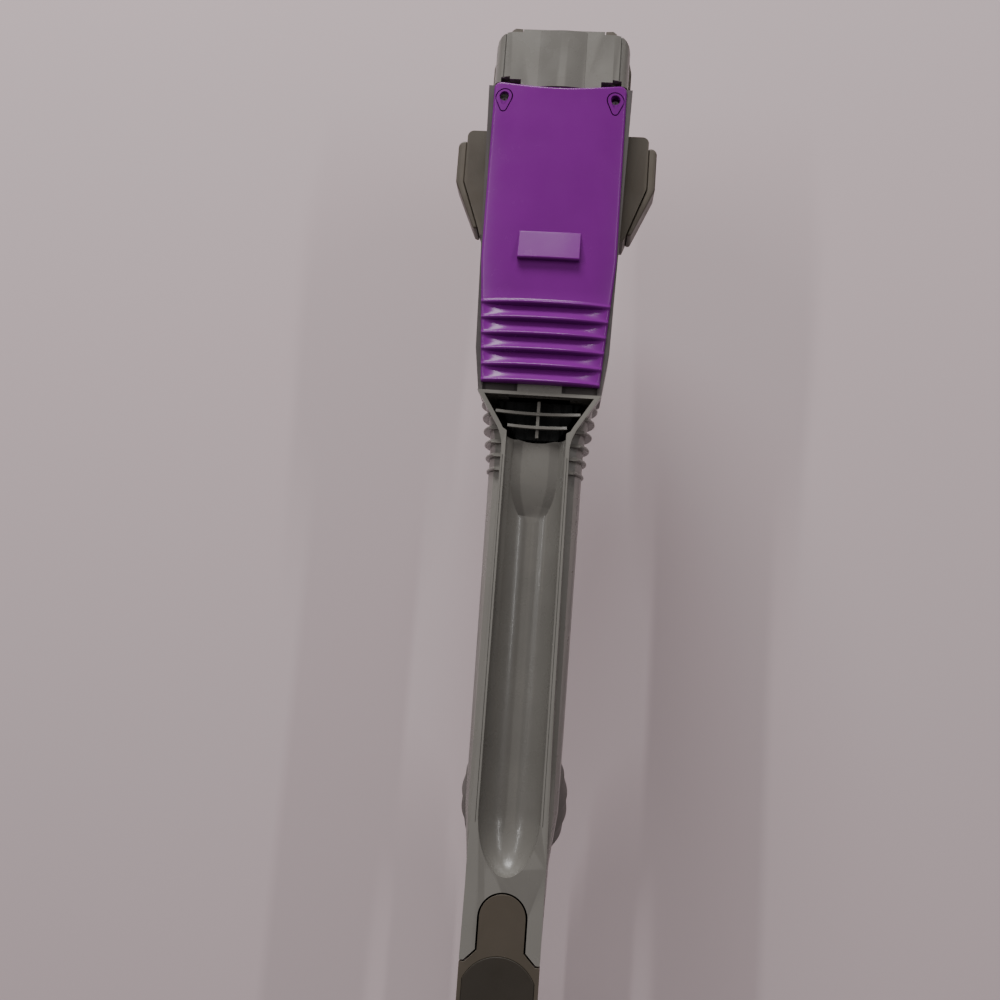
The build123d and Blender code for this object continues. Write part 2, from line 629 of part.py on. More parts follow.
def fins(y_front, y_back):
    """Cooling fins round the neck, between two depths."""
    stack = None
    for index in range(FIN_COUNT):
        share = index / (FIN_COUNT - 1)
        half = FIN_FIRST_HALF + share * (FIN_LAST_HALF - FIN_FIRST_HALF)
        middle = FIN_FIRST + index * FIN_PITCH
        disc = post(0, SPLIT, middle - FIN_THICKNESS / 2, middle + FIN_THICKNESS / 2, half)
        disc = fillet(disc.edges(), FIN_THICKNESS / 2 - 0.1) & block(-60, 60, y_front, y_back, 220, 300)
        stack = disc if stack is None else stack + disc
    return stack


def neck_opening():
    """Exhaust opening between the flared rails."""
    inner = []
    for index in range(7):
        station = 227.4 + index * 3.3
        inner.append((rail_half_width(station) - 3.0, -station))
    right = Spline(*inner)
    left = mirror(right, about=Plane.YZ)
    bottom = Spline(inner[-1], (11.2, -251.4), (0, -253.4), (-11.2, -251.4),
                    (-inner[-1][0], inner[-1][1]))
    top = Line(left @ 0, right @ 0)
    return upright(make_face([right, left, bottom, top]), -40, -8)


def tongue_outline(offset):
    """Arch-topped tongue with flared shoulders; offset moves the edge outwards."""
    radius = TONGUE_RADIUS + offset
    centre = -TONGUE_CENTRE
    low = -TONGUE_SHOULDER + offset * 0.41
    flare = -TONGUE_SHOULDER - TONGUE_FLARE + offset
    out = radius + TONGUE_FLARE - offset * 0.59
    return make_face([
        ThreePointArc((-radius, centre), (0, centre + radius), (radius, centre)),
        Polyline((radius, centre), (radius, low), (out, flare), (40, flare), (40, -560),
                 (-40, -560), (-40, flare), (-out, flare), (-radius, low),
                 (-radius, centre)).edges()])


def shaft_front_shell():
    """Front shell with the flared neck, the trough and the flat lower face."""
    rows = shaft_rows()
    outer = loft([front_section(s, f, m) for s, f, m, d in rows], ruled=True)
    hollow = loft([front_section(s, f, m, WALL) for s, f, m, d in
                   inset_rows(rows, NECK_TOP + 1.8, SHAFT_END - 2)], ruled=True)
    hollow -= trough_form(WALL)
    tab = block(-TAB_HALF, TAB_HALF, FRONT + 1.6, FRONT + 3.4, TAB_TOP, NECK_TOP + 1)
    shell = outer + fins(FIN_FRONT, SPLIT) - hollow - (trough_form() - raised_floor()) - neck_opening()
    shell += tab
    shell -= both_sides(block(GROOVE_X, GROOVE_X + 0.4, FRONT - 1, FRONT + 0.4, NECK_END + 4, 468))
    shell -= upright(tongue_outline(SEAM / 2), -40, -8)
    shell -= block(-18, 18, -18, SPLIT + 1, NECK_TOP - 1, NECK_TOP + 3)
    return shell


def shaft_rear_solid():
    """Outer form of the rear shell without its fins."""
    return loft([rear_section(s, m, d) for s, f, m, d in shaft_rows()], ruled=True)


def shaft_rear_shell():
    """Rear tube with cooling fins round the neck."""
    rows = shaft_rows()
    shell = shaft_rear_solid()
    shell += fins(SPLIT, 60)
    hollow = loft([rear_section(s, m, d, WALL) for s, f, m, d in
                   inset_rows(rows, NECK_TOP + 1.8, SHAFT_END - 2)], ruled=True)
    shell = shell - hollow
    shell -= block(-18, 18, SPLIT - 1, 14, NECK_TOP - 1, NECK_TOP + 3)
    for s in (300.0, 420.0):
        shell -= both_sides(rod_y(22.2, s, 0, 40, 2.6))
    return shell


def exhaust_grille():
    """Two slim bowed bars and a centre rib across the neck opening."""
    bars = None
    for station, half, bow in ((236.7, 24.6, 4.0), (244.9, 17.2, 3.0)):
        arch = make_face([
            ThreePointArc((-half, -23.4), (0, -23.4 + bow), (half, -23.4)),
            Line((half, -23.4), (half, -20.6)),
            ThreePointArc((half, -20.6), (0, -20.6 + bow), (-half, -20.6)),
            Line((-half, -20.6), (-half, -23.4))])
        bar = extrude(Plane.XY.offset(-station - 0.85) * arch, 1.7)
        bars = bar if bars is None else bars + bar
    return bars + block(-0.9, 0.9, -17.8, -15.2, 229.0, 250.6)


# ---------------------------------------------------------------- battery and electronics
def cell_positions():
    """Centres and top stations of the six cells."""
    for column in (-1, 1):
        for row in range(3):
            yield column * CELL_X, CELL_Y, CELL_FIRST + row * (CELL_LENGTH + CELL_GAP)


def battery_cells():
    """Six cylindrical cells in two columns."""
    cells = None
    for x, y, top in cell_positions():
        cell = post(x, y, top + 0.8, top + CELL_LENGTH, CELL_RADIUS) + post(x, y, top, top + 1, 3)
        cells = cell if cells is None else cells + cell
    return cells


def battery_holder():
    """End plates and a spine that carry the cells."""
    length = 3 * CELL_LENGTH + 2 * CELL_GAP
    top = CELL_FIRST - 3.2
    holder = block(-18.4, 18.4, 0, 15.5, top, top + 2)
    holder += block(-18.4, 18.4, 0, 15.5, CELL_FIRST + length + 1.2, CELL_FIRST + length + 3.2)
    holder += block(-2.6, 2.6, 14.4, 17.4, top, CELL_FIRST + length + 3.2)
    return holder & post(0, SPLIT, top - 1, CELL_FIRST + length + 4, 23.0)


def cell_straps():
    """Nickel strips that join the cells' ends."""
    length = 3 * CELL_LENGTH + 2 * CELL_GAP
    straps = block(-15, 15, 3.4, 10.6, CELL_FIRST - 1.1, CELL_FIRST - 0.5)
    straps += block(-15, 15, 3.4, 10.6, CELL_FIRST + length + 0.2, CELL_FIRST + length + 0.8)
    for row in (1, 2):
        middle = CELL_FIRST + row * (CELL_LENGTH + CELL_GAP) - CELL_GAP / 2
        straps += both_sides(block(6.0, 13.0, 3.4, 10.6, middle - 0.3, middle + 0.3))
    return straps


def control_board():
    """Circuit board with its power parts, in the front limb."""
    board = block(-16, 16, -16.0, -14.4, 556, 630)
    for x, s, w, h, t in ((0, 570, 12, 12, 2.0), (-9, 590, 7, 9, 3.0), (8, 592, 8, 8, 3.0),
                          (0, 612, 16, 8, 5.0)):
        board += block(x - w / 2, x + w / 2, -14.4, -14.4 + t, s - h / 2, s + h / 2)
    return board


def charge_socket():
    """Round jack in the lower end of the handle."""
    jack = post(0, -13.0, LIMB_BOTTOM - 13, LIMB_BOTTOM - 0.4, 4.6)
    jack -= post(0, -13.0, LIMB_BOTTOM - 9, LIMB_BOTTOM + 1, 3.0)
    return jack


def wiring():
    """Leads from the battery to the motor."""
    return both_sides(post(4.0, 12.0, MOTOR_BOTTOM + 0.2, CELL_FIRST - 3.4, 1.1))


# ---------------------------------------------------------------- handle
def limb_outline():
    """Front view of the lower front limb with a rounded end."""
    body = Pos(0, -(SHAFT_END - 60 + LIMB_BOTTOM) / 2) * Rectangle(60, LIMB_BOTTOM - SHAFT_END + 60)
    narrow = Pos(0, -(470 + LIMB_BOTTOM) / 2) * Rectangle(2 * LIMB_HALF, LIMB_BOTTOM - 470)
    narrow = fillet(narrow.vertices().group_by(Axis.Y)[0], 16)
    return body & narrow


def pad_outline(shrink=0.0):
    """Arch-topped soft pad."""
    half = PAD_HALF - shrink
    radius = PAD_ARCH_RADIUS
    arch = radius - sqrt(radius ** 2 - half ** 2)
    top = PAD_TOP + shrink
    bottom = PAD_BOTTOM - shrink
    return make_face([
        ThreePointArc((-half, -top - arch), (0, -top), (half, -top - arch)),
        Line((half, -top - arch), (half, -bottom + 12)),
        ThreePointArc((half, -bottom + 12), (0, -bottom), (-half, -bottom + 12)),
        Line((-half, -bottom + 12), (-half, -top - arch))])


def handle_front_shell():
    """Front of the lower limb, with the tongue that locks into the shaft."""
    limb = extrude(front_section(TONGUE_CENTRE - 20, LIMB_HALF, 21.6), -(LIMB_BOTTOM - 497.5))
    outline = limb_outline() & tongue_outline(-SEAM / 2)
    lower = Pos(0, -(558 + LIMB_BOTTOM) / 2) * Rectangle(60, LIMB_BOTTOM - 558)
    outline += limb_outline() & lower
    shell = limb & upright(outline, -40, SPLIT)
    hollow = block(-LIMB_HALF + WALL, LIMB_HALF - WALL, FRONT + 3.4, SPLIT + 1, 545, LIMB_BOTTOM - 6)
    hollow = fillet(hollow.edges().filter_by(Axis.Y).group_by(Axis.Z)[0], 12)
    shell = shell - hollow - block(-30, 30, FRONT + 3.4, SPLIT + 1, 500, SHAFT_END + 0.6)
    shell -= upright(pad_outline(), -40, FRONT + 1.4)
    return shell - post(0, -13.0, LIMB_BOTTOM - 13.1, LIMB_BOTTOM + 1, 4.65)


def limb_rear_solid():
    """Outer form of the back of the lower limb."""
    form = extrude(rear_section(SHAFT_END + 0.6, 21.6, 10.0), -(LIMB_BOTTOM - SHAFT_END - 0.6))
    return form & upright(limb_outline(), SPLIT, 40)


def handle_back_shell():
    """Back of the lower front limb."""
    hollow = extrude(rear_section(SHAFT_END + 3, 21.6, 10.0, WALL), -(LIMB_BOTTOM - SHAFT_END - 9))
    shell = limb_rear_solid() - hollow
    return shell


def grip_pad():
    """Soft pad on the front limb."""
    pad = upright(pad_outline(0.1), FRONT - 0.5, FRONT + 1.4)
    return fillet(pad.edges().group_by(Axis.Y)[0], 0.45)


def grip_path():
    """Axis of the rear limb: out of the shaft, down, and forward to the front limb."""
    points = [(0, y, -s) for y, s in (GRIP_ROOT, GRIP_SHOULDER, GRIP_HEEL, GRIP_TOE)]
    return FilletPolyline(*points, radius=[46.0, 30.0])


def grip_tube(radius):
    """Round tube along the grip's axis."""
    path = grip_path()
    return sweep(Plane(path @ 0, z_dir=path % 0) * Circle(radius), path)


def trigger_slot():
    """Space that the trigger moves in."""
    return block(-6.2, 6.2, 40, 58.6, 532.5, 574)


def grip_shells():
    """Left and right halves of the rear limb."""
    tube = grip_tube(GRIP_RADIUS) - grip_tube(GRIP_RADIUS - GRIP_WALL)
    tube = tube - shaft_rear_solid() - limb_rear_solid()
    tube -= block(-40, 40, -60, SPLIT, 400, 700)
    tube -= trigger_slot()
    y, s = TRIGGER_PIVOT
    bosses = both_sides(rod_x(y, s, 6.4, 11.5, 3.0))
    tube += bosses
    tube -= rod_x(y, s, -9.5, 9.5, 1.5)
    rest = block(0, 40, -60, 120, 400, 700)
    right = tube & rest
    left = tube & mirror(rest, about=Plane.YZ)
    return left, right


def grip_boot():
    """Ribbed rubber boot round the root of the rear limb."""
    y0, s0 = GRIP_ROOT
    y1, s1 = GRIP_SHOULDER
    start = Vector(0, y0, -s0)
    axis = (Vector(0, y1, -s1) - start).normalized()
    points = [(GRIP_RADIUS, BOOT_START)]
    step = (BOOT_END - BOOT_START) / BOOT_RINGS
    for index in range(BOOT_RINGS):
        low = BOOT_START + index * step
        for along, lift in ((low, -BOOT_LIP), (low + step * 0.8, BOOT_LIP), (low + step * 0.9, -BOOT_LIP)):
            reach = (along - BOOT_CENTRE) / BOOT_HALF_LENGTH
            points.append((BOOT_RADIUS * sqrt(1 - reach ** 2) + lift, along))
    points.append((GRIP_RADIUS, BOOT_END - step * 0.1))
    profile = make_face(Polyline(*points, close=True))
    form = revolve(Plane.XZ * profile, Axis.Z)
    form = Plane(start, x_dir=(1, 0, 0), z_dir=axis) * form
    return form


def trimmed_boot():
    """Boot cut to sit on the outside of the shaft."""
    form = grip_boot() - shaft_rear_solid() - block(-60, 60, -80, SPLIT, 380, 560)
    return form - grip_tube(GRIP_RADIUS)


def trigger():
    """Curved finger lever on the inside of the grip."""
    y, s = TRIGGER_PIVOT
    blade = side_polygon([(50.4, 534.4), (59.0, 534.4), (60.2, 541.0), (58.0, 571.0), (50.0, 572.4),
                          (45.2, 570.6), (43.6, 566.0), (45.8, 554.0), (46.6, 544.0)], -5.6, 5.6)
    blade = fillet(blade.edges().filter_by(Axis.X).group_by(Axis.Y)[0], 1.2)
    blade -= rod_x(y, s, -7, 7, 1.5 + RUNNING_GAP)
    return blade - block(-2.8, 2.8, y - 3.4, y + 3.4, s - 3.0, s + 3.4)


def trigger_spring():
    """Torsion spring on the trigger's pin."""
    y, s = TRIGGER_PIVOT
    spring = None
    for index in range(4):
        coil = Pos(-1.65 + index * 1.1, y, -s) * Rot(0, 90, 0) * Torus(2.2, 0.5)
        spring = coil if spring is None else spring + coil
    return spring + rod_x(y + 2.2, s, -1.8, 1.8, 0.35)


def trigger_pin():
    """Pin of the trigger."""
    y, s = TRIGGER_PIVOT
    return rod_x(y, s, -9.4, 9.4, 1.5)


def micro_switch():
    """Switch that the trigger works."""
    body = block(-4, 4, 65.0, 73.0, 556, 572)
    return body + block(-1.2, 1.2, 63.4, 65.0, 563, 566)


# ---------------------------------------------------------------- write every node
def main():
    """Build each sub-part and write it to its own file."""
    os.makedirs("parts", exist_ok=True)
    nodes = {
        "nozzle_socket": nozzle_socket(), "socket_seal": socket_seal(),
        "inlet_flap": inlet_flap(), "flap_pin": flap_pin(),
        "casing_right": casing_half(), "front_cover": front_cover(), "cover_screws": cover_screws(),
        "latch_pins": latch_pins(), "dust_chamber": dust_chamber(), "mesh_shroud": mesh_shroud(),
        "bin_door": bin_door(), "door_seal": door_seal(), "door_pin": door_pin(),
        "door_catch": door_catch(), "pre_motor_filter": pre_motor_filter(),
        "exhaust_filter": exhaust_filter(), "motor_mount_ring": motor_mount_ring(),
        "motor_housing": motor_housing(), "bearing_upper": bearing(MOTOR_TOP - 0.7),
        "bearing_lower": bearing(MOTOR_BOTTOM - 4.5), "motor_stator": motor_stator(),
        "rotor": rotor(), "impeller": impeller(), "shaft_front_shell": shaft_front_shell(),
        "shaft_rear_shell": shaft_rear_shell(), "exhaust_grille": exhaust_grille(),
        "battery_cells": battery_cells(), "battery_holder": battery_holder(),
        "cell_straps": cell_straps(), "control_board": control_board(),
        "charge_socket": charge_socket(), "motor_leads": wiring(),
        "handle_front_shell": handle_front_shell(), "handle_back_shell": handle_back_shell(),
        "grip_pad": grip_pad(), "grip_boot": trimmed_boot(), "trigger": trigger(),
        "trigger_spring": trigger_spring(), "trigger_pin": trigger_pin(),
        "micro_switch": micro_switch()}
    nodes["casing_left"] = mirror(nodes["casing_right"], about=Plane.YZ)
    nodes["grip_left_shell"], nodes["grip_right_shell"] = grip_shells()
    for name, shape in (("latch_lever", latch_lever()), ("latch_cap", latch_cap()),
                        ("latch_spring", latch_spring())):
        nodes[name + "_right"] = shape
        nodes[name + "_left"] = mirror(shape, about=Plane.YZ)
    for node, shape in nodes.items():
        save(shape, node)


main()
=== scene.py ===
import bpy
import bmesh
import json
from math import acos, cos, exp, pi, radians, sin, sqrt
from mathutils import Matrix, Vector


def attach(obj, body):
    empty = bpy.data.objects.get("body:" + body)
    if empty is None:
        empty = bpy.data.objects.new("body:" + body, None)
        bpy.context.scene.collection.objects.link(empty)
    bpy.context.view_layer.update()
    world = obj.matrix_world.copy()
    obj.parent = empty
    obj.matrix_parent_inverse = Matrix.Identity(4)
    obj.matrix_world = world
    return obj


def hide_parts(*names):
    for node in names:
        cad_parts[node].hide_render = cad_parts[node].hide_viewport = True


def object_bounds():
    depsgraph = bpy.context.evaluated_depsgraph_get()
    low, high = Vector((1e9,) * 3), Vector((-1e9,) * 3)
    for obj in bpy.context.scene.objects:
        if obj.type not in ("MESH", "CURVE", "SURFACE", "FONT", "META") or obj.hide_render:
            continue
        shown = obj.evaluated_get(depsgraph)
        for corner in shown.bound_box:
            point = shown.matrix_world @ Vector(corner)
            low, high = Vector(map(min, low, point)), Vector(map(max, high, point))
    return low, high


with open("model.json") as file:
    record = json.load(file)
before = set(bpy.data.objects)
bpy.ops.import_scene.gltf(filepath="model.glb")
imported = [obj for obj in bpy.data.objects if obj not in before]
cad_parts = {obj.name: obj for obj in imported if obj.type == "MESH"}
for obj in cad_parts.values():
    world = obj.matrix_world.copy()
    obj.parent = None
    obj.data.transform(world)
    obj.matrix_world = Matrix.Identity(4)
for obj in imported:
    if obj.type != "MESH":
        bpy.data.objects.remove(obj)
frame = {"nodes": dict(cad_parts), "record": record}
cad_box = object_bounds()
nodes = frame["nodes"]
MM = 0.001
CREASE = radians(38)           # meshes of our own are smooth below this angle

# front cover, in millimetres; s is a station below the suction mouth
COVER_BACK = -24.05            # y of the cover's back plane
COVER_HALF = 40.0
COVER_TOP = 33.6
COVER_DIP = 5.0
COVER_BOTTOM = 220.6
TAPER_FROM = 145.0
TAPER = 5.6 / 77               # loss of half-width per millimetre below that station
CORNER_RADIUS = 5.0
COVER_SIDE = 1.3               # height of the cover's side walls
COVER_RISE = 4.1               # rise of the arch above the side walls
EDGE_RADIUS = 1.2
BLEND_END = 60.0               # rows follow the dipped top edge down to this station
RIDGE_COUNT = 6
RIDGE_FIRST = 172.4
RIDGE_PITCH = 9.4
LIP_PROUD = 0.9
LIP_WIDTH = 1.1
LIP_CLEARANCE = 0.9            # flat below a ridge before the recess starts
RECESS_STEP = 0.7              # length over which a recess drops to its full depth
RAMP_STOP = 1.2                # flat above the next ridge
RAMP_LENGTH = RIDGE_PITCH - 3.0
RECESS_DEPTH = 4.0
RECESS_SPAN = 0.95             # share of the half-width that the recesses reach
BOSS = (33.5, 44.6)            # x and station of the two screw bosses
# egg outlines of a boss: radius, radius of the lower circle, distance between the two centres
SEAM_OUTSIDE = (5.4, 2.4, 7.2)
SEAM_INSIDE = (4.7, 1.9, 6.9)
SINK = (2.9, 1.6, 4.0)
HOLE_RADIUS = 2.6
FRONT_LIMIT = -34              # y in front of the whole cover
LEDGE_HALF = 18.3
LEDGE_TOP = 129.6
LEDGE_BOTTOM = 146.6

# widths and steps of the rounded edges that differ from the usual 0.4 mm
EDGE_WIDTHS = {
    "latch_lever_left": (1.4 * MM, 4), "latch_lever_right": (1.4 * MM, 4),
    "latch_cap_left": (2.2 * MM, 4), "latch_cap_right": (2.2 * MM, 4),
    "shaft_front_shell": (0.25 * MM, 2), "nozzle_socket": (0.8 * MM, 3),
    "exhaust_grille": (0.5 * MM, 3),
}


# ---------------------------------------------------------------- camera, stage and light
def look_from(target, distance, azimuth, elevation, roll, lens):
    """Camera that looks at target; azimuth 0 looks along +Y, roll leans the picture's top right."""
    a, e = radians(azimuth), radians(elevation)
    back = Vector((sin(a) * cos(e), -cos(a) * cos(e), sin(e)))
    data = bpy.data.cameras.new("photo_camera")
    data.lens = lens
    data.sensor_width = 36
    data.clip_end = 20
    camera = bpy.data.objects.new("photo_camera", data)
    camera.location = target + back * distance
    turn = (-back).to_track_quat("-Z", "Y").to_matrix() @ Matrix.Rotation(radians(roll), 3, "Z")
    camera.rotation_euler = turn.to_euler()
    bpy.context.scene.collection.objects.link(camera)
    bpy.context.scene.camera = camera


def area_light(name, place, target, size, watts):
    """Soft light, its size given as width and height."""
    data = bpy.data.lights.new(name, "AREA")
    data.shape = "RECTANGLE"
    data.size, data.size_y = size
    data.energy = watts
    light = bpy.data.objects.new(name, data)
    light.location = place
    aim = Vector(target) - Vector(place)
    light.rotation_euler = aim.to_track_quat("-Z", "Y").to_euler()
    bpy.context.scene.collection.objects.link(light)


def node_material(name):
    """New material with its node tree and its Principled shader."""
    material = bpy.data.materials.new(name)
    material.use_nodes = True
    tree = material.node_tree
    shader = tree.nodes["Principled BSDF"]
    return material, tree, shader


def backdrop():
    """Pale wall behind the object; from behind it is clear, so other views see past it."""
    material, tree, shader = node_material("wall_paint")
    shader.inputs["Base Color"].default_value = (0.62, 0.508, 0.524, 1)
    shader.inputs["Roughness"].default_value = 0.9
    geometry = tree.nodes.new("ShaderNodeNewGeometry")
    clear = tree.nodes.new("ShaderNodeBsdfTransparent")
    mix = tree.nodes.new("ShaderNodeMixShader")
    tree.links.new(geometry.outputs["Backfacing"], mix.inputs[0])
    tree.links.new(shader.outputs[0], mix.inputs[1])
    tree.links.new(clear.outputs[0], mix.inputs[2])
    tree.links.new(mix.outputs[0], tree.nodes["Material Output"].inputs[0])
    half, y, floor = 2.5, 0.14, cad_box[0].z - 0.6
    mesh = bpy.data.meshes.new("wall")
    corners = [(-half, y, floor), (half, y, floor), (half, y, 2.2), (-half, y, 2.2)]
    mesh.from_pydata(corners, [], [(0, 1, 2, 3)])
    wall = bpy.data.objects.new("wall", mesh)
    mesh.materials.append(material)
    bpy.context.scene.collection.objects.link(wall)


def studio():
    """Camera, two tall narrow lamps, a soft lamp above, a weak one behind and a pale world."""
    look_from(Vector((-18 * MM, -26 * MM, -289.5 * MM)), 0.618, 4.0, -8.0, 4.25, 39.0)
    middle = (0, 0, -0.28)
    area_light("lamp_left", (-1.20, -1.40, 0.25), (0, 0, 0.25), (0.05, 1.3), 8)
    area_light("lamp_right", (1.20, -1.40, 0.25), (0, 0, 0.25), (0.05, 1.3), 7)
    area_light("top_soft", (-0.45, -1.1, 1.9), middle, (1.4, 0.8), 62)
    area_light("back_fill", (0.7, 1.4, 0.5), middle, (1.0, 1.0), 3)
    world = bpy.data.worlds.new("pale_room")
    world.use_nodes = True
    world.node_tree.nodes["Background"].inputs[0].default_value = (0.62, 0.56, 0.575, 1)
    world.node_tree.nodes["Background"].inputs[1].default_value = 0.25
    bpy.context.scene.world = world
    backdrop()


# ---------------------------------------------------------------- materials
def noise(tree, scale, detail=3.0, roughness=0.55):
    """Noise in object coordinates, in cycles per metre."""
    place = tree.nodes.new("ShaderNodeTexCoord")
    texture = tree.nodes.new("ShaderNodeTexNoise")
    texture.inputs["Scale"].default_value = scale
    texture.inputs["Detail"].default_value = detail
    texture.inputs["Roughness"].default_value = roughness
    tree.links.new(place.outputs["Object"], texture.inputs["Vector"])
    return texture.outputs["Fac"]


def spread(tree, source, low, high):
    """Maps the middle of a noise to the range low to high."""
    node = tree.nodes.new("ShaderNodeMapRange")
    node.inputs["From Min"].default_value = 0.3
    node.inputs["From Max"].default_value = 0.7
    node.inputs["To Min"].default_value = low
    node.inputs["To Max"].default_value = high
    tree.links.new(source, node.inputs["Value"])
    return node.outputs["Result"]


def blend_colour(tree, factor, dark, light):
    """Colour between dark and light by a factor."""
    node = tree.nodes.new("ShaderNodeMix")
    node.data_type = "RGBA"
    node.inputs["A"].default_value = (*dark, 1)
    node.inputs["B"].default_value = (*light, 1)
    tree.links.new(factor, node.inputs["Factor"])
    return node.outputs["Result"]


def add_bump(tree, shader, height, distance):
    """Bump from a height."""
    node = tree.nodes.new("ShaderNodeBump")
    node.inputs["Strength"].default_value = 1.0
    node.inputs["Distance"].default_value = distance
    tree.links.new(height, node.inputs["Height"])
    tree.links.new(node.outputs["Normal"], shader.inputs["Normal"])


def moulded(name, colour, roughness, grain=2600, grain_depth=0.00004, variation=0.08, coat=0.0,
            wear=0.0, specular=0.5):
    """Moulded plastic or rubber: cloudy colour, uneven gloss, fine grain and scuffed edges."""
    material, tree, shader = node_material(name)
    dark = [c * (1 - variation) for c in colour]
    light = [min(1, c * (1 + variation)) for c in colour]
    cloud = spread(tree, noise(tree, 28, 4), 0, 1)
    tone = blend_colour(tree, cloud, dark, light)
    if wear:
        geometry = tree.nodes.new("ShaderNodeNewGeometry")
        edge = tree.nodes.new("ShaderNodeMapRange")
        edge.inputs["From Min"].default_value = 0.53
        edge.inputs["From Max"].default_value = 0.60
        edge.inputs["To Max"].default_value = wear
        tree.links.new(geometry.outputs["Pointiness"], edge.inputs["Value"])
        mix = tree.nodes.new("ShaderNodeMix")
        mix.data_type = "RGBA"
        mix.inputs["B"].default_value = (*[min(1, c * 1.7 + 0.02) for c in colour], 1)
        tree.links.new(edge.outputs["Result"], mix.inputs["Factor"])
        tree.links.new(tone, mix.inputs["A"])
        tone = mix.outputs["Result"]
    tree.links.new(tone, shader.inputs["Base Color"])
    smudge = spread(tree, noise(tree, 60, 5, 0.6), roughness * 0.85, roughness * 1.2)
    tree.links.new(smudge, shader.inputs["Roughness"])
    add_bump(tree, shader, noise(tree, grain, 2), grain_depth)
    shader.inputs["Specular IOR Level"].default_value = specular
    shader.inputs["Coat Weight"].default_value = coat
    shader.inputs["Coat Roughness"].default_value = 0.12
    return material


def metal(name, colour, roughness):
    """Turned or pressed metal with fine streaks."""
    material, tree, shader = node_material(name)
    streak = spread(tree, noise(tree, 900, 2), 0, 1)
    tree.links.new(blend_colour(tree, streak, [c * 0.82 for c in colour], colour),
                   shader.inputs["Base Color"])
    tree.links.new(spread(tree, noise(tree, 400), roughness * 0.8, roughness * 1.3),
                   shader.inputs["Roughness"])
    shader.inputs["Metallic"].default_value = 1.0
    add_bump(tree, shader, noise(tree, 3000, 2), 0.00002)
    return material


def make_materials():
    """One material for each slot of the record."""
    return {
        "satin_grey": moulded("satin_grey", (0.170, 0.161, 0.145), 0.28, coat=0.15, wear=0.35,
                              specular=0.35),
        "casing_grey": moulded("casing_grey", (0.080, 0.070, 0.068), 0.33, wear=0.3, specular=0.35),
        "handle_grey": moulded("handle_grey", (0.085, 0.070, 0.053), 0.42, wear=0.3, specular=0.4),
        "gloss_purple": moulded("gloss_purple", (0.182, 0.012, 0.225), 0.24, grain=900,
                                grain_depth=0.00001, variation=0.05, specular=0.25),
        "dark_grey": moulded("dark_grey", (0.040, 0.038, 0.035), 0.5),
        "soft_pad": moulded("soft_pad", (0.034, 0.027, 0.019), 0.62, grain=3600, grain_depth=0.00007),
        "grey_rubber": moulded("grey_rubber", (0.105, 0.098, 0.088), 0.5, grain=3000),
        "black_rubber": moulded("black_rubber", (0.012, 0.012, 0.012), 0.6),
        "steel": metal("steel", (0.55, 0.54, 0.52), 0.32),
        "spring_steel": metal("spring_steel", (0.46, 0.46, 0.47), 0.28),
        "motor_metal": metal("motor_metal", (0.62, 0.63, 0.65), 0.4),
        "copper": metal("copper", (0.62, 0.28, 0.15), 0.35),
        "foam": moulded("foam", (0.30, 0.33, 0.42), 0.95, grain=1400, grain_depth=0.0006),
        "black_foam": moulded("black_foam", (0.006, 0.006, 0.006), 0.95, grain=1800,
                              grain_depth=0.0003),
        "cell_wrap": moulded("cell_wrap", (0.02, 0.16, 0.10), 0.25, coat=0.4),
        "nickel": metal("nickel", (0.70, 0.68, 0.62), 0.3),
        "board": moulded("board", (0.01, 0.10, 0.035), 0.35, grain=1200, coat=0.4),
        "wire": moulded("wire", (0.012, 0.012, 0.013), 0.4),
    }


def soften(obj, width, segments=2):
    """Rounds the edges of a CAD node with modifiers."""
    weld = obj.modifiers.new("weld", "WELD")
    weld.merge_threshold = 0.00001
    flat = obj.modifiers.new("merge_flat", "DECIMATE")
    flat.decimate_type = "DISSOLVE"
    flat.angle_limit = radians(1.0)
    flat.delimit = {"SHARP"}
    bevel = obj.modifiers.new("round_edges", "BEVEL")
    bevel.width = width
    bevel.segments = segments
    bevel.limit_method = "ANGLE"
    bevel.angle_limit = radians(32)
    bevel.harden_normals = True
    for polygon in obj.data.polygons:
        polygon.use_smooth = True
    weighted = obj.modifiers.new("even_normals", "WEIGHTED_NORMAL")
    weighted.keep_sharp = True
    weighted.weight = 80


def dress_nodes(materials):
    """Gives each CAD node its slot's material and rounded edges."""
    slots = {row["node"]: row["material_slot"] for row in frame["record"]["subparts"]}
    for name, obj in nodes.items():
        obj.data.materials.clear()
        obj.data.materials.append(materials[slots[name]])
        soften(obj, *EDGE_WIDTHS.get(name, (0.4 * MM, 2)))


# ---------------------------------------------------------------- front cover
def cover_half(s):
    """Half-width of the cover at a station, in millimetres as everything in this section."""
    return COVER_HALF if s < TAPER_FROM else COVER_HALF - (s - TAPER_FROM) * TAPER


def roll_off(distance, radius):
    """Drop of a rounded edge at a distance inside it."""
    inside = max(0.0, radius - max(0.0, distance))
    return radius - sqrt(radius ** 2 - inside ** 2)


def cover_top(x):
    """Station of the cover's top edge: a shallow dip with round corners."""
    corner = max(0.0, abs(x) - (COVER_HALF - CORNER_RADIUS))
    dip = COVER_DIP * (1 - (x / COVER_HALF) ** 2)
    return COVER_TOP + dip + roll_off(CORNER_RADIUS - corner, CORNER_RADIUS)


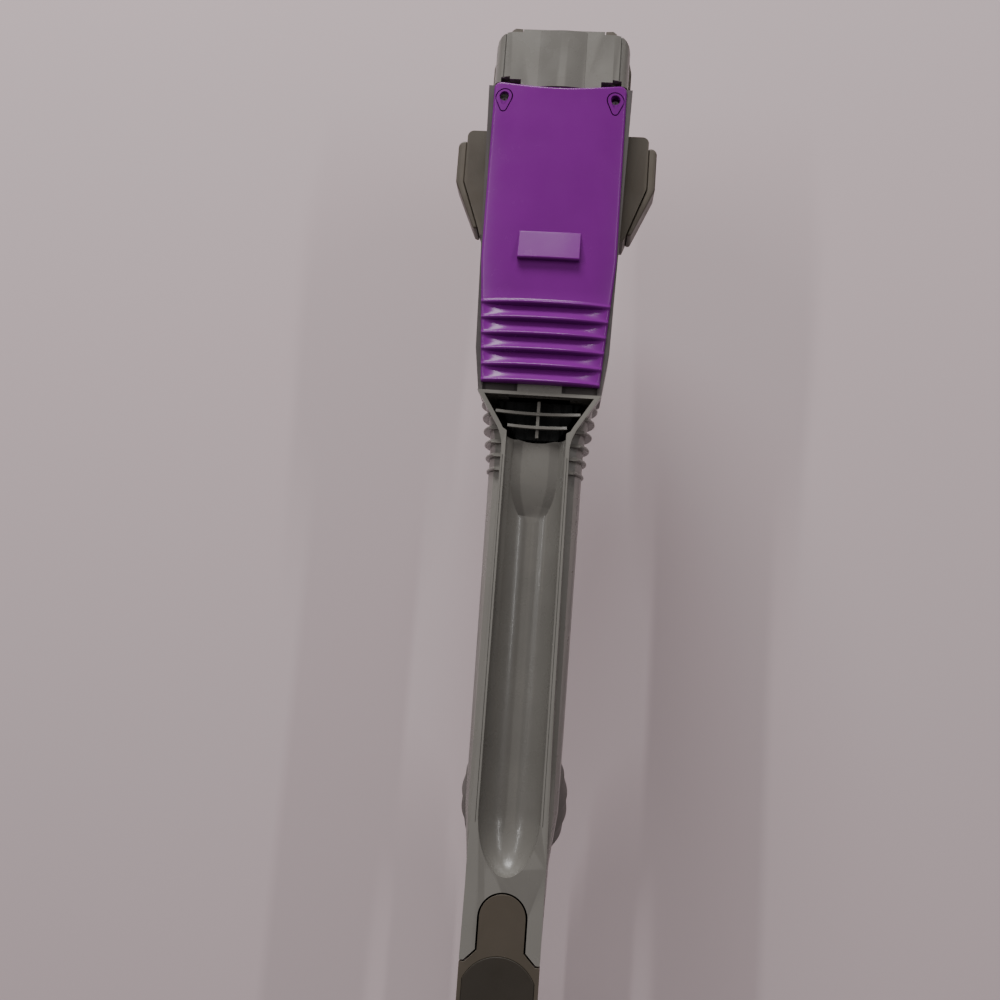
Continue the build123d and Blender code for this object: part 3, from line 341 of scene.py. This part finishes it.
def louver_relief(u, s):
    """Height added by ridges and their lips and taken by the recesses under them."""
    along = s - RIDGE_FIRST
    if along < -3:
        return 0.0
    index = min(RIDGE_COUNT - 1, max(0, round(along / RIDGE_PITCH)))
    lip = LIP_PROUD * exp(-((along - index * RIDGE_PITCH) / LIP_WIDTH) ** 2)
    if along < 0 or along > (RIDGE_COUNT - 1) * RIDGE_PITCH:
        return lip
    phase = along % RIDGE_PITCH
    step = min(1.0, max(0.0, (phase - LIP_CLEARANCE) / RECESS_STEP))
    ramp = min(1.0, max(0.0, (RIDGE_PITCH - RAMP_STOP - phase) / RAMP_LENGTH))
    across = max(0.0, 1 - (u / RECESS_SPAN) ** 4)
    return lip - RECESS_DEPTH * across * step * ramp


def cover_height(u, s, top):
    """Height of the cover's face above its back plane."""
    half = cover_half(s)
    height = COVER_SIDE + COVER_RISE * (1 - abs(u) ** 2.6) + louver_relief(u, s)
    edge = min((1 - abs(u)) * half, s - top, COVER_BOTTOM - s)
    return height - roll_off(edge, EDGE_RADIUS)


def cover_stations():
    """Stations of the rows, close together round the edges and the ridges."""
    rows = [COVER_TOP + step for step in (0, 0.15, 0.4, 0.8, 1.3, 2, 3)]
    rows += [COVER_TOP + 3 + 2.2 * step for step in range(1, 59)]
    for index in range(RIDGE_COUNT):
        ridge = RIDGE_FIRST + index * RIDGE_PITCH
        rows += [ridge + offset for offset in (-2, -1.4, -0.9, -0.5, -0.2, 0.1, 0.4, 0.7, 0.9, 1.1, 1.3,
                                               1.6, 2.4, 4, 5.6)]
    last = RIDGE_FIRST + (RIDGE_COUNT - 1) * RIDGE_PITCH
    rows = [row for row in rows if row < last]
    return sorted(rows) + [COVER_BOTTOM - step for step in (1.2, 0.9, 0.5, 0.2, 0)]


def cover_columns():
    """Places across the cover from -1 to 1, close together at the sides."""
    fine = [0.0, 0.004, 0.012, 0.024, 0.04, 0.06]
    plain = [0.06 + step * 0.94 / 28 for step in range(1, 29)]
    return [-1 + place for place in fine + plain] + [1 - place for place in reversed(fine + plain[:-1])]


def mesh_piece(name, points, faces, material):
    """New object from points in millimetres, smooth except at its creases."""
    mesh = bpy.data.meshes.new(name)
    mesh.from_pydata([Vector(point) * MM for point in points], [], faces)
    mesh.materials.append(material)
    for polygon in mesh.polygons:
        polygon.use_smooth = True
    mesh.set_sharp_from_angle(angle=CREASE)
    obj = bpy.data.objects.new(name, mesh)
    bpy.context.scene.collection.objects.link(obj)
    return obj


def prism(name, outline, y0, y1):
    """Closed solid over an outline given in x and station."""
    count = len(outline)
    points = [(x, y, -s) for y in (y0, y1) for x, s in outline]
    faces = [list(range(count)), list(range(2 * count - 1, count - 1, -1))]
    faces += [(i, i + count, (i + 1) % count + count, (i + 1) % count) for i in range(count)]
    solid = mesh_piece(name, points, faces, materials["gloss_purple"])
    shape = bmesh.new()
    shape.from_mesh(solid.data)
    bmesh.ops.recalc_face_normals(shape, faces=shape.faces)
    shape.to_mesh(solid.data)
    shape.free()
    return solid


def carve(obj, cutter):
    """Cuts one mesh out of another and deletes the cutter."""
    change = obj.modifiers.new("carve", "BOOLEAN")
    change.operation = "DIFFERENCE"
    change.solver = "EXACT"
    change.object = cutter
    graph = bpy.context.evaluated_depsgraph_get()
    mesh = bpy.data.meshes.new_from_object(obj.evaluated_get(graph))
    obj.modifiers.clear()
    obj.data = mesh
    bpy.data.objects.remove(cutter)


def egg(x, s, radius, small, reach):
    """Outline round a circle and a smaller one below it."""
    half = acos((radius - small) / reach)
    outline = []
    for step in range(29):
        turn = half + (2 * pi - 2 * half) * step / 28
        outline.append((x + radius * sin(turn), s + radius * cos(turn)))
    for step in range(13):
        turn = half * (step / 6 - 1)
        outline.append((x + small * sin(turn), s + reach + small * cos(turn)))
    return outline


def front_cover():
    """Arched cover with ridges and two recessed bosses, in place of the plain CAD cover."""
    columns, stations = cover_columns(), cover_stations()
    wide, tall = len(columns), len(stations)
    points = []
    for s in stations:
        for u in columns:
            blend = max(0.0, (BLEND_END - s) / (BLEND_END - COVER_TOP))
            top = cover_top(u * COVER_HALF)
            place = s + blend * (top - COVER_TOP)
            points.append((u * cover_half(place), COVER_BACK - cover_height(u, place, top), -place))
    faces = [(r * wide + c, (r + 1) * wide + c, (r + 1) * wide + c + 1, r * wide + c + 1)
             for r in range(tall - 1) for c in range(wide - 1)]
    rim = list(range(wide)) + [r * wide + wide - 1 for r in range(1, tall)]
    rim += [(tall - 1) * wide + c for c in range(wide - 2, -1, -1)]
    rim += [r * wide for r in range(tall - 2, 0, -1)]
    start = len(points)
    points += [(points[i][0], COVER_BACK, points[i][2]) for i in rim]
    count = len(rim)
    faces += [(rim[i], rim[(i + 1) % count], start + (i + 1) % count, start + i) for i in range(count)]
    faces.append([start + i for i in range(count)][::-1])
    cover = mesh_piece("cover_shell", points, faces, materials["gloss_purple"])
    for side in (-1, 1):
        x, s = side * BOSS[0], BOSS[1]
        ring = prism("seam", egg(x, s, *SEAM_OUTSIDE), FRONT_LIMIT, COVER_BACK - 0.9)
        core = prism("core", egg(x, s, *SEAM_INSIDE), FRONT_LIMIT - 2, -20)
        carve(ring, core)
        carve(cover, ring)
        carve(cover, prism("sink", egg(x, s - 0.6, *SINK), FRONT_LIMIT, COVER_BACK - 1.0))
        turns = [step * pi / 12 for step in range(24)]
        hole = [(x + HOLE_RADIUS * sin(turn), s - 0.9 + HOLE_RADIUS * cos(turn)) for turn in turns]
        carve(cover, prism("hole", hole, FRONT_LIMIT, COVER_BACK + 3))
    cover.data.set_sharp_from_angle(angle=CREASE)
    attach(cover, "main")
    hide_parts("front_cover")


def finger_ledge():
    """Ramp on the cover with a flat face and an undercut lower edge."""
    rows = [(LEDGE_TOP - 0.8, -27.6), (LEDGE_TOP, -29.9), (LEDGE_BOTTOM, -33.6), (LEDGE_BOTTOM + 0.7, -32.8),
            (LEDGE_BOTTOM + 0.2, -27.0)]
    places = [-1 + step / 6 for step in range(13)]
    points = []
    for s, y in rows:
        crown = 0.5 if y < -29 else 0.0
        points += [(place * LEDGE_HALF, y + crown * place ** 2, -s) for place in places]
    wide = len(places)
    faces = [(r * wide + c, (r + 1) * wide + c, (r + 1) * wide + c + 1, r * wide + c + 1)
             for r in range(len(rows) - 1) for c in range(wide - 1)]
    last = (len(rows) - 1) * wide
    faces += [(c, c + 1, last + c + 1, last + c) for c in range(wide - 1)]
    for c in (0, wide - 1):
        side = [r * wide + c for r in range(len(rows))]
        faces.append(side if c else side[::-1])
    ledge = mesh_piece("cover_ledge", points, faces, materials["gloss_purple"])
    bevel = ledge.modifiers.new("round_edges", "BEVEL")
    bevel.width = 0.6 * MM
    bevel.segments = 3
    bevel.limit_method = "ANGLE"
    bevel.angle_limit = radians(25)
    bevel.harden_normals = True
    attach(ledge, "main")


studio()
materials = make_materials()
dress_nodes(materials)
front_cover()
finger_ledge()
